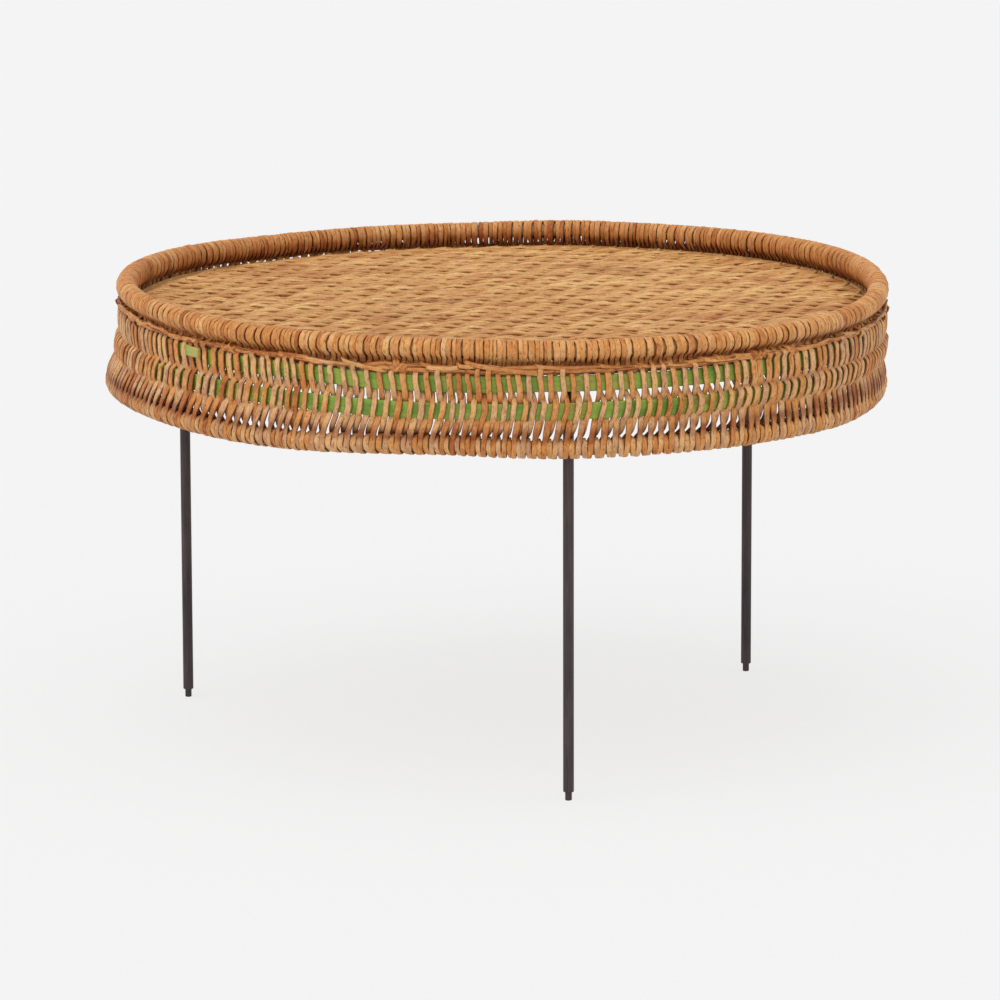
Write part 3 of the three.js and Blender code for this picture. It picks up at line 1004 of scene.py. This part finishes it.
def add_knot(tube, rng, place):
    """Short stitches that cross each other steeply."""
    for number in range(KNOT_STITCHES):
        length = rng.uniform(6, 10) * MM / BINDER_R
        rise = (2 * (number % 2) - 1) * rng.uniform(1.8, 3.6) * MM
        start = place + rng.uniform(-7, 3) * MM / BINDER_R
        width = BINDER_WIDTH * rng.uniform(0.8, 1.0)
        add_stitch(tube, rng, start, length, BINDER_Z - rise, BINDER_Z + rise, 0.6 * MM, width, 1.2 * MM)


def make_binder():
    """Two strands stitched along the neck under the rim, which change places now and then."""
    rng = np.random.default_rng(31)
    tube = TubeMesh()
    for lane in (0.5, -0.5):
        start = rng.uniform(0, 20) * MM / BINDER_R
        stop = start + FULL_TURN
        end_z = BINDER_Z + lane * BINDER_SPACING
        while start < stop:
            length = rng.uniform(14, 38) * MM / BINDER_R
            start_z = end_z + rng.uniform(-0.6, 0.9) * MM
            if rng.uniform() < SWAP_SHARE:
                lane = -lane
            end_z = BINDER_Z + lane * BINDER_SPACING + rng.uniform(-0.9, 0.9) * MM
            width = BINDER_WIDTH * rng.uniform(0.85, 1.15)
            sag = rng.uniform(-0.4, 1.0) * MM
            add_stitch(tube, rng, start, length, start_z, end_z, sag, width, 0.0)
            start += length + rng.uniform(-2.0, 1.0) * MM / BINDER_R
    for place in KNOTS:
        add_knot(tube, rng, place)
    for start, length, start_rise, end_rise in LOOSE_PIECES:
        start_z, end_z = BINDER_Z + start_rise, BINDER_Z + end_rise
        add_stitch(tube, rng, start, length, start_z, end_z, LOOSE_SAG, LOOSE_WIDTH, LOOSE_RISE)
    place_piece(tube.make("binder_stitches", RATTAN), "dark_rattan", "binder_row")


# Floor

def stake_places():
    """The name and the middle of each stake, from the CAD."""
    names = sorted(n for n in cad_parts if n.startswith("floor_stake_"))
    middles = [sum(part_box(n), Vector((0, 0, 0))) / 2 for n in names]
    return names, np.array([tuple(m) for m in middles])


STAKE_NAMES, STAKE_MIDDLES = stake_places()
STAKE_PITCH = float(np.linalg.norm(STAKE_MIDDLES[1, :2] - STAKE_MIDDLES[0, :2]))
ACROSS_STAKES = unit(STAKE_MIDDLES[-1, :2] - STAKE_MIDDLES[0, :2])
ALONG_STAKES = np.array([-ACROSS_STAKES[1], ACROSS_STAKES[0]])

# Stains on the floor: place, reach along and across, in metres, and strength
FLOOR_STAINS = (
    (-0.065, 0.0, 0.045, 0.009, 0.8),
    (-0.10, -0.20, 0.040, 0.010, 0.6),
    (-0.10, -0.08, 0.040, 0.050, 0.25),
    (0.11, 0.19, 0.030, 0.025, 0.45),
    (0.235, 0.0, 0.014, 0.010, 0.8),
    (0.02, -0.12, 0.030, 0.008, 0.4),
)


def floor_stain(flat):
    total = np.zeros(len(flat))
    for x, y, reach_x, reach_y, strength in FLOOR_STAINS:
        total += strength * bell(flat[:, 0] - x, reach_x) * bell(flat[:, 1] - y, reach_y)
    return np.clip(total, 0, 0.8)


def spread_along(place, values):
    """Reads values that lie evenly along a floor strand at places counted from its middle."""
    return np.interp(place, np.linspace(-SPREAD_REACH, SPREAD_REACH, len(values)), values)


def level_piece(tube, path, width, thickness, section, tone, stain, rng):
    """Adds a strand or a rod that lies level in the floor, with its broad side up."""
    outward = np.zeros_like(path)
    outward[:, 2] = 1
    rings = sweep(handmade(path[None]), outward[None], width[None], thickness[None], section)
    tube.add(rings, tone[None], stain[None], rng)


def make_floor():
    """Strands woven over and under the stakes, from one edge of the floor to the other."""
    rng = np.random.default_rng(41)
    along = np.array([math.cos(WEAVER_ANGLE), math.sin(WEAVER_ANGLE)])
    across = np.array([-along[1], along[0]])
    row_pitch = PAIR_PITCH * abs(float(ALONG_STAKES @ across)) / 2
    section = strand_section(WEAVER_SIDES, 0.14, 0.8)
    reach = FLOOR_R + EDGE_REACH
    rows = int(reach / row_pitch)
    tubes = [TubeMesh() for _ in range(FLOOR_PIECES)]
    for row in range(-rows, rows + 1):
        offset = (row + 0.5) * row_pitch
        half_length = math.sqrt(max(reach ** 2 - offset ** 2, 0))
        if half_length < SHORTEST_HALF:
            continue
        steps = max(6, int(2 * half_length / WEAVER_STEP))
        place = np.linspace(-half_length, half_length, steps + 1)
        pair = math.floor(row / 2)
        wander = spread_along(place, rng.normal(0, 0.45 * MM, 13))
        flat = place[:, None] * along + (offset + wander)[:, None] * across
        phase = (flat @ ACROSS_STAKES) / STAKE_PITCH + pair
        swing = np.cos(math.pi * phase)
        side = 2 * (row % 2) - 1
        flat = flat + (side * WEAVER_SPREAD * swing)[:, None] * across
        height = np.arcsin(0.95 * swing) / math.asin(0.95)
        radius = np.hypot(flat[:, 0], flat[:, 1])
        edge = smooth_step(reach - EDGE_RUN, reach, radius)
        size = spread_along(place, rng.normal(1.0, 0.22, 19))
        level = FLOOR_Z + WEAVER_SWING * height * size * (1 - 0.5 * edge) - EDGE_DROP * edge
        level += spread_along(place, rng.normal(0, 0.34 * MM, 25))
        tuck = smooth_step(reach - EDGE_TUCK_RUN, reach, radius) * smooth_step(*FRONT_SPAN, -flat[:, 1])
        level -= EDGE_TUCK * tuck
        path = np.stack([flat[:, 0], flat[:, 1], level], axis=-1)
        width = WEAVER_WIDTH * rng.uniform(0.96, 1.04) * spread_along(place, rng.normal(1.0, 0.05, 31))
        width = width * (1 + 0.30 * np.maximum(swing, 0)) * (1 - 0.35 * edge)
        thickness = np.full_like(width, WEAVER_THICKNESS * rng.uniform(0.9, 1.1))
        tone = spread_along(place, np.clip(rng.normal(0.55, 0.22, 9), 0.1, 0.95))
        # Painted highlight on the crests over the stakes.
        tone = np.clip(tone + RIDGE_HIGHLIGHT * (np.maximum(swing, 0) ** 4 - 0.3), 0, 1)
        # Floor stains, with painted shade where the strands' ends run under the rim and on the tucked-in
        # front ends.
        stain = floor_stain(flat) + 0.35 * edge + 0.4 * tuck
        number = int((row + rows) / (2 * rows + 1) * FLOOR_PIECES)
        level_piece(tubes[number], path, width, thickness, section, tone, stain, rng)
    for number, tube in enumerate(tubes):
        place_piece(tube.make(f"floor_weavers_{number + 1}", FLOOR_RATTAN), "rattan", "floor_weave")


def make_stakes():
    rng = np.random.default_rng(51)
    for name, middle in zip(STAKE_NAMES, STAKE_MIDDLES):
        offset = float(middle[:2] @ ACROSS_STAKES)
        half_length = math.sqrt((FLOOR_R - 1 * MM) ** 2 - offset ** 2) - 3 * MM
        steps = max(8, int(2 * half_length / STAKE_STEP))
        place = np.linspace(-half_length, half_length, steps + 1)
        flat = place[:, None] * ALONG_STAKES + offset * ACROSS_STAKES
        path = np.stack([flat[:, 0], flat[:, 1], FLOOR_Z + 0 * place], axis=-1)
        size = STAKE_THICKNESS * (1 + 0.05 * np.sin(place * 90 + rng.uniform(0, FULL_TURN)))
        tube = TubeMesh()
        section = round_section(STAKE_SIDES)
        level_piece(tube, path, size, size, section, np.full_like(place, 0.6), 0 * place, rng)
        place_piece(tube.make(f"{name}_rod", POLE), "pole", name)


# Camera, stage and light

CAMERA_PLACE = (33.9 * MM, -5782.8 * MM, 1363.1 * MM)
CAMERA_PITCH = math.radians(11.199)
CAMERA_YAW = math.radians(-0.3381)
CAMERA_ROLL = math.radians(-0.1528)
CAMERA_LENS = 219.86
SENSOR_WIDTH = 36
CAMERA_REACH = 100

BACKGROUND = linear(243, 243, 243)
STAGE_COLOR = linear(235, 235, 235)
STAGE_REACH = 40
SHADOW_SHARE = 0.16
AMBIENT = 0.6

# Lights: name, where the light comes from, its spread in degrees and its strength
LIGHTS = (
    ("overhead", (-0.20, -0.36, 1.0), 60, 1.30),
    ("front_fill", (-0.30, -1.0, 0.35), 90, 0.52),
    ("left_fill", (-1.0, -0.25, 0.25), 70, 0.45),
    ("right_fill", (1.0, -0.25, 0.25), 70, 0.45),
)


def make_camera():
    camera = bpy.data.objects.new("camera", bpy.data.cameras.new("camera"))
    camera.data.lens = CAMERA_LENS
    camera.data.sensor_width = SENSOR_WIDTH
    camera.data.clip_end = CAMERA_REACH
    camera.matrix_world = (
        Matrix.Translation(CAMERA_PLACE)
        @ Matrix.Rotation(-CAMERA_YAW, 4, "Z")
        @ Matrix.Rotation(math.pi / 2 - CAMERA_PITCH, 4, "X")
        @ Matrix.Rotation(CAMERA_ROLL, 4, "Z")
    )
    bpy.context.scene.collection.objects.link(camera)
    bpy.context.scene.camera = camera


def seen_directly(n):
    """1 for what the camera sees, also by reflection or through glass, else 0."""
    path = n.add("ShaderNodeLightPath")
    seen = n.math("MAXIMUM", path.outputs["Is Camera Ray"], path.outputs["Is Glossy Ray"])
    return n.math("MAXIMUM", seen, path.outputs["Is Transmission Ray"])


def make_stage():
    n = Nodes(bpy.data.materials.new("pale_floor"))
    n.shader.inputs["Base Color"].default_value = STAGE_COLOR
    n.shader.inputs["Roughness"].default_value = 0.9
    glow = n.add("ShaderNodeEmission", {"Color": BACKGROUND, "Strength": 1.0})
    share = n.math("MULTIPLY", seen_directly(n), 1 - SHADOW_SHARE)
    mixed = n.add("ShaderNodeMixShader", {0: share, 1: n.shader.outputs[0], 2: glow.outputs[0]})
    output = n.tree.nodes["Material Output"]
    n.put(output.inputs["Surface"], mixed.outputs[0])
    mesh = bpy.data.meshes.new("studio_floor")
    corners = [(x * STAGE_REACH, y * STAGE_REACH, 0) for x, y in ((-1, -1), (1, -1), (1, 1), (-1, 1))]
    mesh.from_pydata(corners, [], [(0, 1, 2, 3)])
    mesh.materials.append(n.owner)
    floor = bpy.data.objects.new("studio_floor", mesh)
    bpy.context.scene.collection.objects.link(floor)


def make_light(name, from_where, spread, power):
    """Even light from one direction, with soft shadows, so that the floor stays even too."""
    light = bpy.data.lights.new(name, "SUN")
    light.angle = math.radians(spread)
    light.energy = power
    lamp = bpy.data.objects.new(name, light)
    lamp.rotation_euler = Vector(from_where).to_track_quat("Z", "Y").to_euler()
    bpy.context.scene.collection.objects.link(lamp)


def make_world():
    """Plain ambient light on the object, and the pale background for the camera."""
    world = bpy.data.worlds.new("studio")
    bpy.context.scene.world = world
    n = Nodes(world)
    ambient = n.tree.nodes["Background"]
    ambient.inputs["Color"].default_value = (1, 1, 1, 1)
    ambient.inputs["Strength"].default_value = AMBIENT
    backdrop = n.add("ShaderNodeBackground", {"Color": BACKGROUND})
    inputs = {0: seen_directly(n), 1: ambient.outputs[0], 2: backdrop.outputs[0]}
    mixed = n.add("ShaderNodeMixShader", inputs)
    n.put(n.tree.nodes["World Output"].inputs["Surface"], mixed.outputs[0])


make_stand()
make_hoops()
make_strands()
make_binder()
make_floor()
make_stakes()
make_camera()
make_stage()
make_world()
for light in LIGHTS:
    make_light(*light)
bpy.context.scene.view_settings.view_transform = "Standard"
